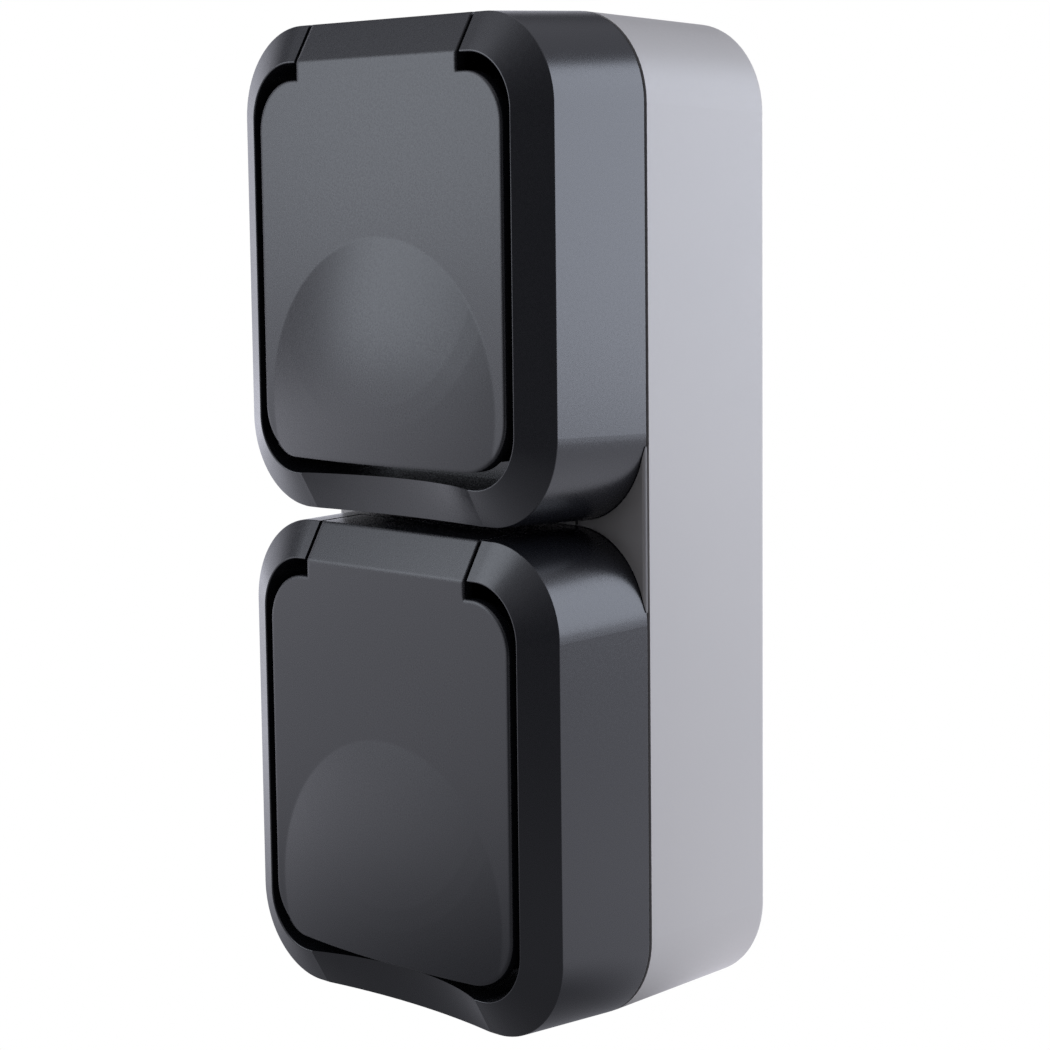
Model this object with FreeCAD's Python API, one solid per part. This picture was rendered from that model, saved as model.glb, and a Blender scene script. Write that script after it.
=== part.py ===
import FreeCAD, Part
import math
import os

# Outdoor double socket, one module above the other, in millimetres.
# X runs to the right, Y runs into the wall, Z runs up.
# The origin is the middle of the face that lies on the wall.

# Outline
# Widths and heights are taken where the box and the covers meet, and both get smaller away from there.
width = 75.0
module_height = 82.0
module_gap = 1.0
corner_radius = 15.0
box_side_taper = 0.25
box_end_taper = 1.2
cover_side_taper = 0.15
cover_top_taper = 0.7
cover_bottom_taper = 0.5

# Layers from the wall to the front
box_depth = 28.4
groove_height = 0.5
frame_thickness = 0.7
cover_depth = 23.5

# Back box
box_wall = 2.2
box_floor = 2.2
back_edge_radius = 0.8
rib_height = 8.0
entry_margin = 2.5
entry_clearance = 0.1
entry_flange = 2.0
entry_flange_height = 1.2
entry_recess = 0.3
membrane_width = 4.1
tear_ring_from_edge = 2.6
tear_ring_wire = 0.5
wall_hole_radius = 2.25
wall_hole_from_middle = 15.0
wall_hole_from_end = 11.0

# Frame under the covers, which shows as a narrow bridge between them
frame_clearance = 0.3
bridge_clearance = 0.15
spigot_clearance = 0.3
spigot_depth = 2.5
gasket_inset = 0.8
frame_opening_clearance = 2.3
frame_opening_radius = 8.0
bridge_rounding = 0.5
split_line_from_middle = 22.3
split_line_width = 0.6
split_line_depth = 0.6

# Cover with its slanted border
rim_inset = 6.3
rim_corner_radius = 9.3
bevel_depth = 3.6
edge_rounding = 0.2
cover_wall = 2.0
chamber_depth = 14.0
chamber_floor = 2.0
core_front = 8.0
core_end_from_slot = 4.4
scoop_half_width = 20.7
scoop_run_out = 3.0
scoop_rim_sag = 4.4
scoop_edge_sag = 1.8
collar_wall = 1.6
collar_length = 3.0

# Lid and the tab that it hinges on
side_gap = 1.6
shoulder_gap = 2.8
bottom_gap = 2.7
lid_corner_radius = 8.4
lid_edge_rounding = 0.4
lid_skin = 2.0
skirt_inset = 1.2
skirt_wall = 1.5
skirt_depth = 8.5
tab_width = 38.6
slot_width = 0.8
tab_reach = 12.1
dome_radius = 27.3
dome_height = 2.4
dome_above_bottom = 18.5

# Hinge
hinge_back = 5.0
hinge_down = 4.0
pin_radius = 1.0
pin_clearance = 0.05
pin_into_cover = 2.2
pin_end_play = 0.1
barrel_radius = 2.2
pocket_clearance = 0.45
spring_wire = 0.6
spring_turns = 5
spring_pitch = 1.8
spring_clearance = 0.2
spring_space = 0.4

# Socket insert
well_radius = 19.5
well_depth = 17.5
cup_wall = 2.2
cup_floor = 2.5
cup_proud = 1.0
cup_clearance = 0.3
guide_width = 5.6
guide_height = 1.4
pin_hole_radius = 2.75
pin_hole_pitch = 19.0
carrier_size = 46.0
carrier_corner = 6.0
carrier_from_floor = 3.3
carrier_post = 18.0
contact_wall = 0.9
contact_length = 11.0
contact_clearance = 0.05
contact_split = 0.8

# Earth strap
strap_width = 6.0
strap_thickness = 0.8
strap_clearance = 0.3
strap_hook_front = 13.4
strap_hook_reach = 4.6
strap_hook_drop = 5.0

# Lid seal
seal_inner_radius = 23.2
seal_width = 2.0
seal_carrier_wall = 0.8
seal_seat_depth = 1.5
seal_carrier_depth = 10.0
seal_gap = 0.2

# Screws
screw_radius = 1.6
screw_clearance = 0.1
screw_head_radius = 3.2
screw_head_height = 1.8
drive_width = 0.9
drive_depth = 0.9
drive_reach = 1.9
cover_screw_from_rim = 7.5
cover_screw_bite = 10.0
post_radius = 3.8
terminal_screw_length = 7.0
centre_screw_length = 9.0

# Places that follow from the sizes above
height = 2 * module_height + module_gap
half_width = width / 2
half_module = module_height / 2
box_front = -box_depth
frame_back = box_front - groove_height
frame_front = frame_back - frame_thickness
cover_back = frame_back
cover_front = cover_back - cover_depth
bevel_back = cover_front + bevel_depth
chamber_back = cover_front + chamber_depth
floor_back = chamber_back + chamber_floor
front_half_width = half_width - cover_side_taper
front_top = half_module - cover_top_taper
front_bottom = half_module - cover_bottom_taper
rim_half_width = front_half_width - rim_inset
rim_top = front_top - rim_inset
rim_bottom = front_bottom - rim_inset
cover_screw_x = rim_half_width - cover_screw_from_rim
lid_under = cover_front + lid_skin
skirt_back = cover_front + skirt_depth
spigot_back = frame_back + spigot_depth
cup_front = chamber_back - cup_proud
well_back = cup_front + well_depth
cup_back = well_back + cup_floor
cup_radius = well_radius + cup_wall
carrier_front = cup_back
carrier_back = -box_floor - carrier_from_floor
hinge_y = cover_front + hinge_back
hinge_z = front_top - hinge_down
tab_half = tab_width / 2
slot_outer = tab_half + slot_width
tab_end = cover_front + tab_reach
tab_end_top = half_module - cover_top_taper * (cover_back - tab_end) / (cover_back - bevel_back)
sweep_radius = math.hypot(tab_end - hinge_y, tab_end_top - hinge_z)
pocket_radius = sweep_radius + pocket_clearance
pin_half = slot_outer + pin_into_cover
screw_bore = screw_radius + screw_clearance
strap_inner = cup_radius + strap_clearance
strap_outer = strap_inner + strap_thickness
entry_y = -box_floor - (box_depth - box_floor) / 2
entry_radius = (box_depth - box_floor) / 2 - entry_flange - entry_margin
cable_hole_radius = entry_radius - membrane_width
tear_ring_radius = entry_radius - tear_ring_from_edge
entry_tilt = math.degrees(math.atan(box_end_taper / box_depth))
module_places = {"upper": (module_height + module_gap) / 2, "lower": -(module_height + module_gap) / 2}


def vec(x, y, z):
    return FreeCAD.Vector(x, y, z)


def rounded_outline(x_half, z_low, z_high, radius, y):
    corners = [(x_half, z_high, 0), (-x_half, z_high, 90), (-x_half, z_low, 180), (x_half, z_low, 270)]
    edges = []
    ends = []
    for x, z, start in corners:
        centre_x = x - math.copysign(radius, x)
        centre_z = z - radius if start < 180 else z + radius
        points = []
        for turn in (0, 45, 90):
            angle = math.radians(start + turn)
            points.append(vec(centre_x + radius * math.cos(angle), y, centre_z + radius * math.sin(angle)))
        edges.append(Part.Arc(*points).toShape())
        ends.append((points[0], points[2]))
    for number, (_, last) in enumerate(ends):
        first = ends[(number + 1) % len(ends)][0]
        edges.append(Part.makeLine(last, first))
    return Part.Wire(Part.__sortEdges__(edges))


def rounded_plate(x_half, z_low, z_high, radius, y_front, y_back):
    face = Part.Face(rounded_outline(x_half, z_low, z_high, radius, y_front))
    return face.extrude(vec(0, y_back - y_front, 0))


def box_outline(inset, y):
    part = (y - box_front) / box_depth
    z_half = height / 2 - inset - part * box_end_taper
    x_half = half_width - inset - part * box_side_taper
    return rounded_outline(x_half, -z_half, z_half, corner_radius - inset, y)


def box_layer(inset, y_front, y_back):
    return Part.makeLoft([box_outline(inset, y_front), box_outline(inset, y_back)], True, True)


def cover_outline(inset, y):
    part = (cover_back - y) / (cover_back - bevel_back)
    return rounded_outline(half_width - inset - part * cover_side_taper,
                           -half_module + inset + part * cover_bottom_taper,
                           half_module - inset - part * cover_top_taper, corner_radius - inset, y)


def cover_layer(inset, y_front, y_back):
    return Part.makeLoft([cover_outline(inset, y_front), cover_outline(inset, y_back)], True, True)


def rim_plate(grown, y_front, y_back):
    return rounded_plate(rim_half_width + grown, -rim_bottom - grown, rim_top + grown,
                         rim_corner_radius + grown, y_front, y_back)


def flat_edges(shape, y):
    return [edge for edge in shape.Edges
            if abs(edge.BoundBox.YMin - y) < 0.01 and abs(edge.BoundBox.YMax - y) < 0.01]


def box_between(x_low, x_high, y_low, y_high, z_low, z_high):
    return Part.makeBox(x_high - x_low, y_high - y_low, z_high - z_low, vec(x_low, y_low, z_low))


def rod_y(radius, y_front, y_back, x=0.0, z=0.0):
    return Part.makeCylinder(radius, y_back - y_front, vec(x, y_front, z), vec(0, 1, 0))


def rod_x(radius, x_low, x_high, y, z):
    return Part.makeCylinder(radius, x_high - x_low, vec(x_low, y, z), vec(1, 0, 0))


def prism_x(points, x_low, x_high):
    corners = [vec(x_low, y, z) for y, z in points]
    corners.append(corners[0])
    return Part.Face(Part.makePolygon(corners)).extrude(vec(x_high - x_low, 0, 0))


def mirrored(shape):
    return shape.mirror(vec(0, 0, 0), vec(1, 0, 0))


def cover_screw_places():
    upper_z = rim_top - cover_screw_from_rim
    lower_z = cover_screw_from_rim - rim_bottom
    return [(-cover_screw_x, upper_z), (cover_screw_x, lower_z)]


def carrier_screw_places():
    return [(-carrier_post, carrier_post), (carrier_post, -carrier_post)]


def terminal_places():
    return [(-carrier_post, -carrier_post), (carrier_post, carrier_post)]


def screw(x, z, head_y, length):
    head = rod_y(screw_head_radius, head_y - screw_head_height, head_y, x, z)
    head = head.makeFillet(screw_head_height / 3, flat_edges(head, head_y - screw_head_height))
    shank = rod_y(screw_radius, head_y, head_y + length, x, z)
    body = head.fuse(shank)
    half = drive_width / 2
    slot_y = head_y - screw_head_height + drive_depth
    for wide, tall in ((drive_reach, half), (half, drive_reach)):
        body = body.cut(box_between(x - wide, x + wide, head_y - 2 * screw_head_height, slot_y,
                                    z - tall, z + tall))
    return body.removeSplitter()


def upright(radius, z_low, z_high):
    return Part.makeCylinder(radius, z_high - z_low, vec(0, entry_y, z_low))


def entry_piece():
    # The face that shows sits just inside the box wall, the flange bears on the inner side.
    length = box_wall - entry_recess
    middle = upright(entry_radius - entry_clearance, 0, length)
    flange = upright(entry_radius + entry_flange, -entry_flange_height, 0)
    ring = Part.makeTorus(tear_ring_radius, tear_ring_wire, vec(0, entry_y, length), vec(0, 0, 1))
    return middle.fuse(flange).cut(ring)


def grommet():
    hole = upright(cable_hole_radius, -entry_flange_height - 1, box_wall)
    return entry_piece().cut(hole).removeSplitter()


def in_top_wall(shape):
    # The end walls of the box lean with its taper, so what sits in them leans too.
    wall_top = height / 2 - box_wall - box_end_taper * (entry_y - box_front) / box_depth
    shape.rotate(vec(0, entry_y, 0), vec(1, 0, 0), -entry_tilt)
    shape.translate(vec(0, 0, wall_top))
    return shape


def in_bottom_wall(shape):
    shape = in_top_wall(shape)
    shape.rotate(vec(0, 0, 0), vec(0, 1, 0), 180)
    return shape


def back_box():
    body = box_layer(0, box_front, 0)
    body = body.makeFillet(back_edge_radius, flat_edges(body, 0))
    body = body.cut(box_layer(box_wall, box_front - 1, -box_floor))
    for place in module_places.values():
        for x, z in cover_screw_places():
            body = body.fuse(rod_y(post_radius, spigot_back, -box_floor / 2, x, place + z))
            rib = box_between(0, half_width - abs(x) - box_wall / 2, -box_floor - rib_height, -box_floor / 2,
                              -box_wall / 2, box_wall / 2)
            if x < 0:
                rib = mirrored(rib)
            rib.translate(vec(x, 0, place + z))
            body = body.fuse(rib)
        for x, z in carrier_screw_places():
            body = body.fuse(rod_y(post_radius, carrier_back, -box_floor / 2, x, place + z))
    for place in module_places.values():
        for x, z in cover_screw_places():
            bore_end = spigot_back + cover_screw_bite + 1
            body = body.cut(rod_y(screw_bore, spigot_back - 1, bore_end, x, place + z))
        for x, z in carrier_screw_places():
            body = body.cut(rod_y(screw_bore, carrier_back - 1, -box_floor / 3, x, place + z))
    for x in (-wall_hole_from_middle, wall_hole_from_middle):
        for z in (-height / 2 + wall_hole_from_end, height / 2 - wall_hole_from_end):
            body = body.cut(rod_y(wall_hole_radius, -box_floor - 1, 1, x, z))
    body = body.cut(in_top_wall(upright(entry_radius, -1, box_wall + 1)))
    return body.cut(in_bottom_wall(upright(entry_radius, -1, box_wall + 1))).removeSplitter()


def box_gasket():
    ring = box_layer(gasket_inset, frame_back, box_front)
    return ring.cut(box_layer(box_wall, frame_back - 1, box_front + 1))


def frame():
    bridge = rounded_plate(half_width, -height / 2, height / 2, corner_radius, frame_front, frame_back)
    bridge = bridge.makeFillet(bridge_rounding, flat_edges(bridge, frame_front))
    z_half = height / 2 - box_wall - spigot_clearance
    body = rounded_plate(half_width - box_wall - spigot_clearance, -z_half, z_half,
                         corner_radius - box_wall - spigot_clearance, frame_back, spigot_back)
    for place in module_places.values():
        bridge = bridge.cut(moved(cover_layer(-bridge_clearance, frame_front - 1, frame_back + 1), place))
        body = body.fuse(moved(cover_layer(cover_wall + frame_clearance, frame_front, frame_back), place))
    body = body.fuse(bridge)
    half_wide = cup_radius + frame_opening_clearance
    half_tall = strap_outer + frame_opening_clearance
    for place in module_places.values():
        body = body.cut(rounded_plate(half_wide, place - half_tall, place + half_tall, frame_opening_radius,
                                      frame_front - 1, spigot_back + 1))
        for x, z in cover_screw_places():
            body = body.cut(rod_y(screw_bore, frame_front - 1, spigot_back + 1, x, place + z))
    for x in (-split_line_from_middle, split_line_from_middle):
        body = body.cut(box_between(x - split_line_width / 2, x + split_line_width / 2, frame_front - 1,
                                    frame_front + split_line_depth, -corner_radius, corner_radius))
    return body.removeSplitter()


def scoop_profile(step):
    # Step 0 is the rim of the lower border and step 1 is its outer edge.
    sag = scoop_rim_sag + step * (scoop_edge_sag - scoop_rim_sag)
    radius = (scoop_half_width ** 2 + sag ** 2) / (2 * sag)
    deepest = cover_front + step * bevel_depth + sag
    z = -rim_bottom - step * rim_inset
    half = scoop_half_width + scoop_run_out
    end_y = deepest - radius + math.sqrt(radius ** 2 - half ** 2)
    front_y = cover_front - half
    arc = Part.Arc(vec(-half, end_y, z), vec(0, deepest, z), vec(half, end_y, z)).toShape()
    sides = Part.makePolygon([vec(half, end_y, z), vec(half, front_y, z), vec(-half, front_y, z),
                              vec(-half, end_y, z)])
    return Part.Wire([arc] + sides.Edges)


def scoop_tool():
    # The finger scoop is a shallow cone, deepest at the rim and running out towards the outer edge.
    return Part.makeLoft([scoop_profile(-0.4), scoop_profile(1.4)], True, True)


def cover():
    rim_wire = rounded_outline(rim_half_width, -rim_bottom, rim_top, rim_corner_radius, cover_front)
    body = cover_layer(0, bevel_back, cover_back)
    body = body.fuse(Part.makeLoft([cover_outline(0, bevel_back), rim_wire], True, True)).removeSplitter()
    body = body.cut(rim_plate(0, cover_front - 1, chamber_back))
    for y in (cover_front, bevel_back, cover_back):
        body = body.makeFillet(edge_rounding, flat_edges(body, y))
    body = body.cut(cover_layer(cover_wall, floor_back, cover_back + 1))
    body = body.cut(core_groove())
    for x, z in cover_screw_places():
        body = body.fuse(rod_y(post_radius, floor_back - chamber_floor / 2, frame_front, x, z))
    hole_radius = cup_radius + cup_clearance
    body = body.fuse(rod_y(hole_radius + collar_wall, floor_back - chamber_floor / 2,
                           floor_back + collar_length))
    body = body.cut(rod_y(hole_radius, chamber_back - 1, cover_back + 1))
    for x, z in cover_screw_places():
        body = body.cut(rod_y(screw_bore, chamber_back - 1, cover_back + 1, x, z))
    body = body.cut(tab_slot())
    body = body.cut(rod_x(pin_radius + pin_clearance, -pin_half, pin_half, hinge_y, hinge_z))
    return body.cut(scoop_tool()).removeSplitter()


def core_groove():
    groove = cover_layer(cover_wall, cover_front + core_front, floor_back)
    groove = groove.cut(rim_plate(cover_wall, cover_front, floor_back + 1))
    solid_end = slot_outer + core_end_from_slot
    return groove.cut(box_between(-solid_end, solid_end, cover_front, cover_back, 0, half_module + 1))


def tab_slot():
    pocket_end = hinge_y + math.sqrt(pocket_radius ** 2 - (tab_end_top - hinge_z) ** 2)
    gap = box_between(-slot_outer, slot_outer, cover_front - 1, pocket_end, rim_top - 1, half_module + 1)
    return gap.fuse(rod_x(pocket_radius, -slot_outer, slot_outer, hinge_y, hinge_z))


def lid_edges(inset):
    x_half = rim_half_width - side_gap - inset
    low = -rim_bottom + bottom_gap + inset
    high = rim_top - shoulder_gap - inset
    return x_half, low, high, lid_corner_radius - inset


def dome(offset):
    ball = (dome_radius ** 2 + dome_height ** 2) / (2 * dome_height)
    centre = vec(0, cover_front - dome_height + ball, -front_bottom + dome_above_bottom)
    sphere = Part.makeSphere(ball - offset, centre, vec(1, 0, 0))
    slab_back = cover_front + offset
    reach = dome_radius + 1
    slab = box_between(-reach, reach, cover_front - dome_height - 1, slab_back,
                       centre.z - reach, centre.z + reach)
    return sphere.common(slab)


def lid_shell():
    plate = rounded_plate(*lid_edges(0), cover_front, lid_under)
    bulge = dome(0).common(rounded_plate(*lid_edges(0), cover_front - dome_height - 1, lid_under))
    skirt = rounded_plate(*lid_edges(skirt_inset), lid_under, skirt_back)
    plate = plate.makeFillet(lid_edge_rounding, flat_edges(plate, cover_front))
    body = plate.fuse(bulge).fuse(skirt)
    hollow_edges = lid_edges(skirt_inset + skirt_wall)
    body = body.cut(rounded_plate(*hollow_edges, lid_under, skirt_back + 1))
    hollow = dome(lid_skin).common(rounded_plate(*hollow_edges, cover_front - dome_height, lid_under + 1))
    return body.cut(hollow)


def seal_carrier():
    envelope = rounded_plate(*lid_edges(skirt_inset), cover_front, skirt_back + seal_carrier_depth)
    envelope = envelope.fuse(dome(0))
    outer = seal_inner_radius + seal_width + seal_carrier_wall
    inner = seal_inner_radius - seal_carrier_wall
    end = cover_front + seal_carrier_depth
    ring = rod_y(outer, cover_front - dome_height, end)
    ring = ring.cut(rod_y(inner, cover_front - dome_height - 1, end + 1))
    seat = end - seal_seat_depth
    groove = rod_y(outer - seal_carrier_wall, seat, end + 1).cut(rod_y(seal_inner_radius, seat - 1, end + 2))
    return ring.common(envelope).cut(groove)


def lid_tab():
    slant = math.hypot(bevel_depth, rim_inset)
    inner_y = cover_front + lid_skin * rim_inset / slant
    inner_z = rim_top - lid_skin * bevel_depth / slant
    top_z = front_top - lid_skin
    top_y = inner_y + (top_z - inner_z) * bevel_depth / rim_inset
    under_z = inner_z + (lid_under - inner_y) * rim_inset / bevel_depth
    low_z = rim_top - shoulder_gap - skirt_inset - skirt_wall
    profile = [(cover_front, low_z), (cover_front, rim_top), (bevel_back, front_top), (tab_end, tab_end_top),
               (tab_end, tab_end_top - lid_skin), (top_y, top_z), (lid_under, under_z), (lid_under, low_z)]
    body = prism_x(profile, -tab_half, tab_half)
    spring_half = spring_turns * spring_pitch / 2 + spring_wire + spring_space
    for low, high in ((-tab_half, -spring_half), (spring_half, tab_half)):
        body = body.fuse(rod_x(barrel_radius, low, high, hinge_y, hinge_z))
    coil_outer = pin_radius + spring_clearance + spring_wire
    body = body.cut(rod_x(coil_outer + spring_space, -spring_half, spring_half, hinge_y, hinge_z))
    return body.cut(rod_x(pin_radius + pin_clearance, -tab_half - 1, tab_half + 1, hinge_y, hinge_z))


def lid():
    return lid_shell().fuse(seal_carrier()).fuse(lid_tab()).removeSplitter()


def lid_seal():
    seat = cover_front + seal_carrier_depth - seal_seat_depth
    end = chamber_back - seal_gap
    outer = seal_inner_radius + seal_width
    return rod_y(outer, seat, end).cut(rod_y(seal_inner_radius, seat - 1, end + 1))


def hinge_pin():
    return rod_x(pin_radius, -pin_half + pin_end_play, pin_half - pin_end_play, hinge_y, hinge_z)


def lid_spring():
    coil_radius = pin_radius + spring_clearance + spring_wire / 2
    length = spring_turns * spring_pitch
    path = Part.makeHelix(spring_pitch, length, coil_radius)
    circle = Part.makeCircle(spring_wire / 2, vec(coil_radius, 0, 0), vec(0, 1, 0))
    coil = Part.Wire(path).makePipeShell([Part.Wire([circle])], True, True)
    coil.rotate(vec(0, 0, 0), vec(0, 1, 0), 90)
    coil.translate(vec(-length / 2, hinge_y, hinge_z))
    return coil


def strap_slot(z_side):
    half = strap_width / 2 + strap_clearance
    front = carrier_front - strap_hook_front - strap_clearance * 2
    low, high = sorted((z_side * (well_radius - 1), z_side * (cup_radius + 1)))
    return box_between(-half, half, front, well_back - cup_floor, low, high)


def socket_cup():
    body = rod_y(cup_radius, cup_front, cup_back)
    body = body.cut(rod_y(well_radius, cup_front - 1, well_back))
    outer = rod_y(well_radius + cup_wall / 2, cup_front + cup_proud, well_back)
    for side in (-1, 1):
        low, high = sorted((side * (well_radius - guide_height), side * cup_radius))
        guide = box_between(low, high, cup_front + cup_proud, well_back, -guide_width / 2, guide_width / 2)
        body = body.fuse(guide.common(outer))
        body = body.cut(rod_y(pin_hole_radius, well_back - 1, cup_back + 1, side * pin_hole_pitch / 2))
        body = body.cut(strap_slot(side))
    return body.cut(rod_y(screw_bore, well_back - 1, cup_back + 1)).removeSplitter()


def carrier():
    half = carrier_size / 2
    body = rounded_plate(half, -half, half, carrier_corner, carrier_front, carrier_back)
    hole = pin_hole_radius + contact_wall + contact_clearance
    for side in (-1, 1):
        x = side * pin_hole_pitch / 2
        body = body.cut(rod_y(hole, carrier_front - 1, carrier_front + contact_length, x))
    reach = strap_outer + strap_clearance
    slot = strap_width / 2 + strap_clearance
    strap_back = carrier_front + strap_thickness
    body = body.cut(box_between(-slot, slot, carrier_front - 1, strap_back, -reach, reach))
    body = body.cut(rod_y(screw_bore, carrier_front - 1, carrier_front + centre_screw_length))
    for x, z in carrier_screw_places():
        body = body.cut(rod_y(screw_bore, carrier_front - 1, carrier_back + 1, x, z))
    for x, z in terminal_places():
        body = body.cut(rod_y(screw_bore, carrier_front - 1, carrier_front + terminal_screw_length + 1, x, z))
    return body.removeSplitter()


def contact(side):
    outer = pin_hole_radius + contact_wall
    x = side * pin_hole_pitch / 2
    body = rod_y(outer, carrier_front, carrier_front + contact_length, x)
    body = body.cut(rod_y(pin_hole_radius, carrier_front - 1, carrier_front + contact_length + 1, x))
    half = contact_split / 2
    split = box_between(x - half, x + half, carrier_front + contact_length / 3, carrier_back, -outer - 1, 0)
    return body.cut(split)


def earth_strap():
    back = carrier_front + strap_thickness
    front = back - strap_thickness - strap_hook_front
    tip_z = strap_inner - strap_hook_reach
    tip_y = front + strap_hook_drop
    drop_per_reach = strap_hook_drop / (strap_outer - tip_z)
    behind = strap_thickness * math.hypot(1, drop_per_reach)
    inner_y = front + strap_thickness * drop_per_reach + behind
    half = strap_width / 2
    body = box_between(-half, half, carrier_front, back, -strap_outer, strap_outer)
    hook = [(back, strap_inner), (back, strap_outer), (front, strap_outer), (tip_y, tip_z),
            (tip_y + behind, tip_z), (inner_y, strap_inner)]
    for turn in (0, 180):
        leg = prism_x(hook, -half, half)
        leg.rotate(vec(0, 0, 0), vec(0, 1, 0), turn)
        body = body.fuse(leg)
    return body.cut(rod_y(screw_bore, carrier_front - 1, back + 1)).removeSplitter()


def screw_group(places, head_y, length):
    return [screw(x, z, head_y, length) for x, z in places]


def export(name, shape):
    shape.exportStep("parts/" + name + ".step")


def export_group(name, shapes):
    export(name, Part.makeCompound(shapes))


def moved(shape, place):
    copy = shape.copy()
    copy.translate(vec(0, 0, place))
    return copy


def export_module(name, place):
    pieces = {
        "cover": cover(),
        "lid": lid(),
        "lid_seal": lid_seal(),
        "hinge_pin": hinge_pin(),
        "lid_spring": lid_spring(),
        "socket_cup": socket_cup(),
        "contact_carrier": carrier(),
        "contact_left": contact(-1),
        "contact_right": contact(1),
        "earth_strap": earth_strap(),
        "centre_screw": screw(0, 0, well_back, cup_floor + centre_screw_length - 1),
    }
    for piece_name, shape in pieces.items():
        export(name + "_" + piece_name, moved(shape, place))
    cover_screw_length = spigot_back - chamber_back + cover_screw_bite
    groups = {
        "cover_screws": screw_group(cover_screw_places(), chamber_back, cover_screw_length),
        "carrier_screws": screw_group(carrier_screw_places(), carrier_front,
                                      carrier_back - carrier_front + carrier_from_floor),
        "terminal_screws": screw_group(terminal_places(), carrier_front, terminal_screw_length),
    }
    for group_name, shapes in groups.items():
        export_group(name + "_" + group_name, [moved(shape, place) for shape in shapes])


os.makedirs("parts", exist_ok=True)
export("back_box", back_box())
export("box_gasket", box_gasket())
export("frame", frame())
export("top_grommet", in_top_wall(grommet()))
export("bottom_blank", in_bottom_wall(entry_piece().removeSplitter()))
for module_name, module_place in module_places.items():
    export_module(module_name, module_place)
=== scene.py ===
import math

import bpy
from mathutils import Matrix, Vector


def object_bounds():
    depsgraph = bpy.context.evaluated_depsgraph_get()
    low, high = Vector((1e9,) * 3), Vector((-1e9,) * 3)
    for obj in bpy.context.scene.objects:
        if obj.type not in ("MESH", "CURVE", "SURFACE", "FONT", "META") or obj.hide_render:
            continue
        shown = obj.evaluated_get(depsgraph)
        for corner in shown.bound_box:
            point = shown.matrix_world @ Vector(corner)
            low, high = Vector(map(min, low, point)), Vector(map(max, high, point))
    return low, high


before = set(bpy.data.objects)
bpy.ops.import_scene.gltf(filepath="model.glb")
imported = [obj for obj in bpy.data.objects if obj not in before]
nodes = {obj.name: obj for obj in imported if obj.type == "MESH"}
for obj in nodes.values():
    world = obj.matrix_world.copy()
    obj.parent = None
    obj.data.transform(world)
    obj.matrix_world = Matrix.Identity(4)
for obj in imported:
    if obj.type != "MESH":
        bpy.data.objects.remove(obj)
cad_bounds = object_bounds()

# Camera, fitted to the photograph: metres, degrees, and millimetres for the sensor and the lens
CAMERA_PLACE = Vector((0.3291, -0.3390, 0.0537))
VIEW_AZIMUTH = 45.87
VIEW_ELEVATION = 7.06
VIEW_ROLL = -0.68
SENSOR_WIDTH = 36.0
FOCAL_LENGTH = 91.95
CLIP_START = 0.01
CLIP_END = 50.0

# Linear colours: a material with two tones drifts softly between them
DARK = (0.0062, 0.0067, 0.0085)
DARK_WARM = (0.0078, 0.0080, 0.0098)
LIGHT = (0.344, 0.330, 0.313)
LIGHT_WARM = (0.356, 0.340, 0.321)
# Painted shade: the frame's two tones are the box's light grey darkened, and its sideways colour is darker
# still, standing in for the shade between the covers.
PAINTED_SHADE_GREY = (0.265, 0.254, 0.241)
PAINTED_SHADE_GREY_WARM = (0.280, 0.268, 0.252)
PAINTED_SHADE_GREY_SIDE = (0.10, 0.096, 0.092)
INSERT = (0.020, 0.021, 0.024)
INSERT_WARM = (0.024, 0.024, 0.027)
CARRIER = (0.62, 0.60, 0.53)
CARRIER_WARM = (0.66, 0.64, 0.58)
BLACK_RUBBER = (0.012, 0.012, 0.013)
GREY_RUBBER = (0.30, 0.31, 0.33)
BRASS = (0.78, 0.57, 0.25)
BRASS_TARNISH = (0.60, 0.42, 0.17)
STEEL = (0.56, 0.56, 0.57)
STEEL_TARNISH = (0.48, 0.48, 0.50)
ZINC = (0.62, 0.63, 0.65)
ZINC_TARNISH = (0.52, 0.54, 0.58)

# Surface detail, in metres
GRAIN_SIZE = 0.00024
GRAIN_DEPTH = 0.000004
SPECKLE_SIZE = 0.00048
CLOUD_SIZE = 0.030
LID_EDGE_SOFTNESS = 0.0008
RUBBER_GRAIN_SIZE = 0.0005
RUBBER_GRAIN_DEPTH = 0.00002
DUST_SIZE = 0.004
SMUDGE_SIZE = 0.0015
STAIN_SIZE = 0.006
BRUSH_SIZE = 1 / 900
BRUSH_DEPTH = 0.000004

# Finish of plastics and rubbers
IOR = 1.5
RUBBER_ROUGHNESS = (0.64, 0.78)
DUST_GAIN = 1.4
DUST_LIFT = 0.004

# Rays that the softened lid edges take at each point
EDGE_SAMPLES = 8

# A brushed metal's marks are long along the axis whose factor is small
ALONG_X = (0.1, 1, 1)
ALONG_Z = (1, 1, 0.1)
EVEN = (1, 1, 1)

# Light: colours of the studio and its panels, and lengths in metres
COOL = (0.88, 0.89, 1.0)
FRONT = (0.83, 0.90, 1.0)
BLUE = (0.80, 0.86, 1.0)
WHITE = (1.0, 1.0, 1.0)
SURROUND_RADIANCE = 0.10
PANEL_DISTANCE = 0.50
PANEL_TARGET = Vector((0, -0.025, 0.04))
FLOOR_HALF = 1.60


def material_tree(name):
    material = bpy.data.materials.new(name)
    material.use_nodes = True
    tree = material.node_tree
    return material, tree, tree.nodes["Principled BSDF"]


def add(tree, kind, **settings):
    node = tree.nodes.new(kind)
    for key, value in settings.items():
        setattr(node, key, value)
    return node


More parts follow.
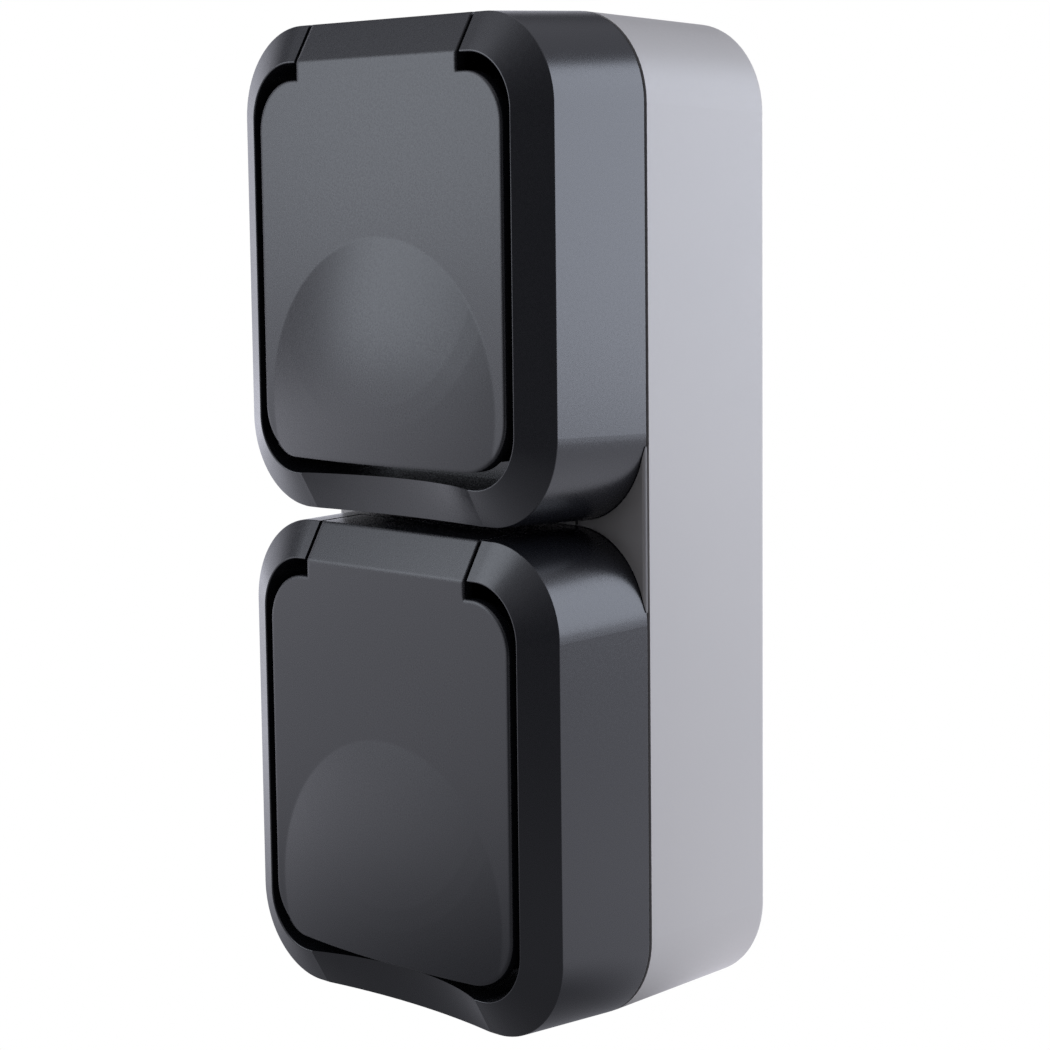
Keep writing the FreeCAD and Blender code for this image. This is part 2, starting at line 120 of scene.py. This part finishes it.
def noise(tree, size, detail, stretch=None):
    place = add(tree, "ShaderNodeTexCoord").outputs["Object"]
    if stretch:
        mapping = add(tree, "ShaderNodeMapping")
        mapping.inputs["Scale"].default_value = stretch
        tree.links.new(place, mapping.inputs["Vector"])
        place = mapping.outputs["Vector"]
    texture = add(tree, "ShaderNodeTexNoise")
    texture.inputs["Scale"].default_value = 1 / size
    texture.inputs["Detail"].default_value = detail
    tree.links.new(place, texture.inputs["Vector"])
    return texture.outputs["Fac"]


def remap(tree, value, low, high, from_low=0.3, from_high=0.7):
    # The default input range is where most of a noise texture's values lie.
    node = add(tree, "ShaderNodeMapRange")
    node.inputs["From Min"].default_value = from_low
    node.inputs["From Max"].default_value = from_high
    node.inputs["To Min"].default_value = low
    node.inputs["To Max"].default_value = high
    tree.links.new(value, node.inputs["Value"])
    return node.outputs["Result"]


def mix_colours(tree, share, first, second):
    # first may be a colour or another node's output; share 0 gives first and 1 gives second.
    node = add(tree, "ShaderNodeMix", data_type="RGBA")
    factor, first_input, second_input = node.inputs[0], node.inputs[6], node.inputs[7]
    if isinstance(first, tuple):
        first_input.default_value = (*first, 1)
    else:
        tree.links.new(first, first_input)
    second_input.default_value = (*second, 1)
    tree.links.new(share, factor)
    return node.outputs[2]


def bump(tree, shader, height, depth, under=None):
    # under is the normal that the bumps lie on, where it isn't the mesh's own.
    node = add(tree, "ShaderNodeBump")
    node.inputs["Strength"].default_value = 1.0
    node.inputs["Distance"].default_value = depth
    tree.links.new(height, node.inputs["Height"])
    if under is not None:
        tree.links.new(under, node.inputs["Normal"])
    tree.links.new(node.outputs["Normal"], shader.inputs["Normal"])


def moulded_plastic(name, first, second, roughness, soften=None):
    material, tree, shader = material_tree(name)
    clouds = remap(tree, noise(tree, CLOUD_SIZE, detail=4), 0, 1)
    tree.links.new(mix_colours(tree, clouds, first, second), shader.inputs["Base Color"])
    speckle = remap(tree, noise(tree, SPECKLE_SIZE, detail=3), *roughness)
    tree.links.new(speckle, shader.inputs["Roughness"])
    shader.inputs["IOR"].default_value = IOR
    rounded = None
    if soften:
        edge = add(tree, "ShaderNodeBevel", samples=EDGE_SAMPLES)
        edge.inputs["Radius"].default_value = soften
        rounded = edge.outputs["Normal"]
    bump(tree, shader, noise(tree, GRAIN_SIZE, detail=2), GRAIN_DEPTH, under=rounded)
    return material


def paint_side_shade(material, dark):
    # Painted shade: where the surface faces sideways, its colour is pulled towards the dark one, standing
    # in for the shade that the strip of the bridge gets in the gap between the covers.
    tree = material.node_tree
    base = tree.nodes["Principled BSDF"].inputs["Base Color"]
    surface = add(tree, "ShaderNodeNewGeometry")
    split = add(tree, "ShaderNodeSeparateXYZ")
    tree.links.new(surface.outputs["Normal"], split.inputs[0])
    sideways = add(tree, "ShaderNodeMath", operation="ABSOLUTE")
    tree.links.new(split.outputs["X"], sideways.inputs[0])
    share = remap(tree, sideways.outputs[0], 0, 1, from_low=0.4, from_high=0.9)
    tree.links.new(mix_colours(tree, share, base.links[0].from_socket, dark), base)


def rubber(name, colour):
    material, tree, shader = material_tree(name)
    dusty = tuple(part * DUST_GAIN + DUST_LIFT for part in colour)
    dust = remap(tree, noise(tree, DUST_SIZE, detail=4), 0, 1)
    tree.links.new(mix_colours(tree, dust, colour, dusty), shader.inputs["Base Color"])
    smudges = remap(tree, noise(tree, SMUDGE_SIZE, detail=3), *RUBBER_ROUGHNESS)
    tree.links.new(smudges, shader.inputs["Roughness"])
    shader.inputs["IOR"].default_value = IOR
    bump(tree, shader, noise(tree, RUBBER_GRAIN_SIZE, detail=2), RUBBER_GRAIN_DEPTH)
    return material


def metal(name, colour, tarnish, roughness, stretch):
    material, tree, shader = material_tree(name)
    brush = noise(tree, BRUSH_SIZE, detail=3, stretch=stretch)
    stain = remap(tree, noise(tree, STAIN_SIZE, detail=4), 0, 1)
    tree.links.new(mix_colours(tree, stain, colour, tarnish), shader.inputs["Base Color"])
    tree.links.new(remap(tree, brush, *roughness), shader.inputs["Roughness"])
    shader.inputs["Metallic"].default_value = 1.0
    bump(tree, shader, brush, BRUSH_DEPTH)
    return material


def dress(node, material):
    for slot in node.material_slots:
        slot.material = material


def dress_all():
    # A pair of numbers is the lowest and the highest roughness on that surface.
    dark_cover = moulded_plastic("dark_cover_plastic", DARK, DARK_WARM, (0.24, 0.29))
    dark_lid = moulded_plastic("dark_lid_plastic", DARK, DARK_WARM, (0.25, 0.30), soften=LID_EDGE_SOFTNESS)
    insert = moulded_plastic("dark_insert_plastic", INSERT, INSERT_WARM, (0.28, 0.36))
    light = moulded_plastic("light_box_plastic", LIGHT, LIGHT_WARM, (0.42, 0.52))
    # Painted shade: the frame is a darker copy of the box's plastic, and darker still where it faces
    # sideways.
    painted_shade_frame = moulded_plastic("frame_plastic_painted_shade", PAINTED_SHADE_GREY, PAINTED_SHADE_GREY_WARM, (0.50, 0.60))
    paint_side_shade(painted_shade_frame, PAINTED_SHADE_GREY_SIDE)
    carrier = moulded_plastic("carrier_plastic", CARRIER, CARRIER_WARM, (0.45, 0.55))
    black = rubber("black_rubber", BLACK_RUBBER)
    grey = rubber("grey_rubber", GREY_RUBBER)
    brass = metal("contact_brass", BRASS, BRASS_TARNISH, (0.22, 0.40), ALONG_Z)
    steel = metal("drawn_steel", STEEL, STEEL_TARNISH, (0.25, 0.38), ALONG_X)
    zinc = metal("zinc_screw", ZINC, ZINC_TARNISH, (0.28, 0.42), EVEN)
    by_ending = [
        ("_cover", dark_cover), ("_lid", dark_lid), ("_lid_seal", black), ("_lid_spring", steel),
        ("_hinge_pin", steel), ("_socket_cup", insert), ("_contact_carrier", carrier),
        ("_contact_left", brass), ("_contact_right", brass), ("_earth_strap", brass),
        ("_screw", zinc), ("_screws", zinc), ("box_gasket", black), ("back_box", light),
        ("frame", painted_shade_frame), ("top_grommet", grey), ("bottom_blank", light),
    ]
    for node_name, node in nodes.items():
        for ending, material in by_ending:
            if node_name.endswith(ending):
                dress(node, material)
                break
        else:
            raise SystemExit("no finish for " + node_name)


def towards(azimuth, elevation=0.0):
    # Azimuth is 0 in front of the socket and 90 on its right.
    turn = math.radians(azimuth)
    rise = math.radians(elevation)
    return Vector((math.sin(turn) * math.cos(rise), -math.cos(turn) * math.cos(rise), math.sin(rise)))


def make_camera():
    roll = math.radians(VIEW_ROLL)
    back = towards(VIEW_AZIMUTH, VIEW_ELEVATION)
    right = (-back).cross(Vector((0, 0, 1))).normalized()
    up = back.cross(right)
    turned_right = right * math.cos(roll) + up * math.sin(roll)
    turned_up = up * math.cos(roll) - right * math.sin(roll)
    matrix = Matrix((turned_right, turned_up, back)).transposed().to_4x4()
    matrix.translation = CAMERA_PLACE
    data = bpy.data.cameras.new("photo_camera")
    data.sensor_width = SENSOR_WIDTH
    data.lens = FOCAL_LENGTH
    data.clip_start = CLIP_START
    data.clip_end = CLIP_END
    camera = bpy.data.objects.new("photo_camera", data)
    camera.matrix_world = matrix
    bpy.context.scene.collection.objects.link(camera)
    bpy.context.scene.camera = camera


def panel(name, azimuth, middle_height, width, height, radiance, colour):
    data = bpy.data.lights.new(name, "AREA")
    data.shape = "RECTANGLE"
    data.size = width
    data.size_y = height
    data.energy = radiance * math.pi * width * height
    data.color = colour
    lamp = bpy.data.objects.new(name, data)
    lamp.location = towards(azimuth) * PANEL_DISTANCE + Vector((0, 0, middle_height))
    lamp.rotation_euler = (lamp.location - PANEL_TARGET).to_track_quat("Z", "Y").to_euler()
    bpy.context.scene.collection.objects.link(lamp)


def make_lights():
    panel("front_left_panel", azimuth=-38, middle_height=0.205, width=0.26, height=0.39, radiance=2.70,
          colour=FRONT)
    panel("right_back_panel", azimuth=134, middle_height=0.170, width=0.45, height=0.44, radiance=4.8,
          colour=BLUE)


def glow(tree, direction, azimuth, elevation, starts_at, full_at, strength=1.0):
    # Radiance that grows smoothly towards one direction, like a big soft box far away.
    # Its start and its full strength are angles in degrees from the middle of the box.
    product = add(tree, "ShaderNodeVectorMath", operation="DOT_PRODUCT")
    tree.links.new(direction, product.inputs[0])
    product.inputs[1].default_value = towards(azimuth, elevation)
    ramp = add(tree, "ShaderNodeMapRange", interpolation_type="SMOOTHSTEP")
    ramp.inputs["From Min"].default_value = math.cos(math.radians(starts_at))
    ramp.inputs["From Max"].default_value = math.cos(math.radians(full_at))
    ramp.inputs["To Max"].default_value = strength
    tree.links.new(product.outputs["Value"], ramp.inputs["Value"])
    return ramp.outputs["Result"]


def combine(tree, operation, first, second):
    # first may be a number or another node's output.
    node = add(tree, "ShaderNodeMath", operation=operation)
    if isinstance(first, float):
        node.inputs[0].default_value = first
    else:
        tree.links.new(first, node.inputs[0])
    tree.links.new(second, node.inputs[1])
    return node.outputs[0]


def total(tree, start, values):
    for value in values:
        start = combine(tree, "ADD", start, value)
    return start


def white_to_camera(tree, kind, strength):
    # The camera sees plain white, and every other ray meets the given strength: the studio's own light in
    # the world, and a painted glow on the floor.
    lit = add(tree, kind)
    lit.inputs["Color"].default_value = (*COOL, 1)
    tree.links.new(strength, lit.inputs["Strength"])
    seen = add(tree, kind)
    seen.inputs["Color"].default_value = (*WHITE, 1)
    path = add(tree, "ShaderNodeLightPath")
    mix = add(tree, "ShaderNodeMixShader")
    tree.links.new(path.outputs["Is Camera Ray"], mix.inputs[0])
    tree.links.new(lit.outputs[0], mix.inputs[1])
    tree.links.new(seen.outputs[0], mix.inputs[2])
    return mix.outputs[0]


def make_world():
    world = bpy.data.worlds.new("studio")
    bpy.context.scene.world = world
    world.use_nodes = True
    tree = world.node_tree
    tree.nodes.clear()
    output = add(tree, "ShaderNodeOutputWorld")
    direction = add(tree, "ShaderNodeTexCoord").outputs["Generated"]
    left = glow(tree, direction, azimuth=-110, elevation=-3, starts_at=47, full_at=15, strength=1.15)
    high_left = glow(tree, direction, azimuth=-50, elevation=36, starts_at=22, full_at=8, strength=0.52)
    front = glow(tree, direction, azimuth=-32, elevation=5, starts_at=43, full_at=18)
    above = glow(tree, direction, azimuth=0, elevation=90, starts_at=60, full_at=20, strength=0.9)
    behind = glow(tree, direction, azimuth=130, elevation=0, starts_at=70, full_at=30, strength=0.4)
    strength = total(tree, SURROUND_RADIANCE, [left, high_left, front, above, behind])
    tree.links.new(white_to_camera(tree, "ShaderNodeBackground", strength), output.inputs["Surface"])


def painted_floor_glow(tree):
    # Painted light and shade: the floor glows in place of the light it would give back, with a painted
    # shadow close to the socket and painted shade towards the front right. The glow is set by the distance
    # and the direction from the point under the socket.
    place = add(tree, "ShaderNodeTexCoord")
    length = add(tree, "ShaderNodeVectorMath", operation="LENGTH")
    tree.links.new(place.outputs["Object"], length.inputs[0])
    away = length.outputs["Value"]
    heading = add(tree, "ShaderNodeVectorMath", operation="NORMALIZE")
    tree.links.new(place.outputs["Object"], heading.inputs[0])
    outward = heading.outputs[0]
    # Painted shadow: the glow is lowered within 0.12 m of the point under the socket, and lowest within
    # 0.06 m.
    painted_contact_shadow = remap(tree, away, -0.10, 0.0, from_low=0.06, from_high=0.12)
    near = remap(tree, away, 0.43, 0.12, from_low=0.10, from_high=0.40)
    middle = remap(tree, away, 0.0, 1.05, from_low=0.05, from_high=0.24)
    far = remap(tree, away, 0.0, 0.70, from_low=0.30, from_high=0.80)
    # Painted shade: the middle glow is taken away towards the right and the front right, and the right
    # back and, far out, the left get painted glows of their own.
    right = glow(tree, outward, azimuth=75, elevation=0, starts_at=108, full_at=60)
    not_right = remap(tree, right, 1.0, 0.0, from_low=0, from_high=1)
    left = glow(tree, outward, azimuth=-70, elevation=0, starts_at=80, full_at=30)
    right_back = glow(tree, outward, azimuth=120, elevation=0, starts_at=75, full_at=35)
    middle_left = combine(tree, "MULTIPLY", middle, not_right)
    far_left = combine(tree, "MULTIPLY", far, left)
    return total(tree, painted_contact_shadow, [near, right_back, middle_left, far_left])


def make_floor():
    half = FLOOR_HALF
    corners = [(-half, -half, 0), (half, -half, 0), (half, half, 0), (-half, half, 0)]
    mesh = bpy.data.meshes.new("floor")
    mesh.from_pydata(corners, [], [(0, 1, 2, 3)])
    floor = bpy.data.objects.new("floor", mesh)
    lowest = cad_bounds[0][2]
    floor.location = (0, 0, lowest)
    bpy.context.scene.collection.objects.link(floor)
    material, tree, shader = material_tree("floor_painted_glow")
    tree.nodes.remove(shader)
    # Painted light: the floor glows for every ray except the camera's.
    surface = white_to_camera(tree, "ShaderNodeEmission", painted_floor_glow(tree))
    tree.links.new(surface, tree.nodes["Material Output"].inputs["Surface"])
    mesh.materials.append(material)


dress_all()
make_camera()
make_lights()
make_world()
make_floor()
bpy.context.scene.view_settings.view_transform = "Standard"
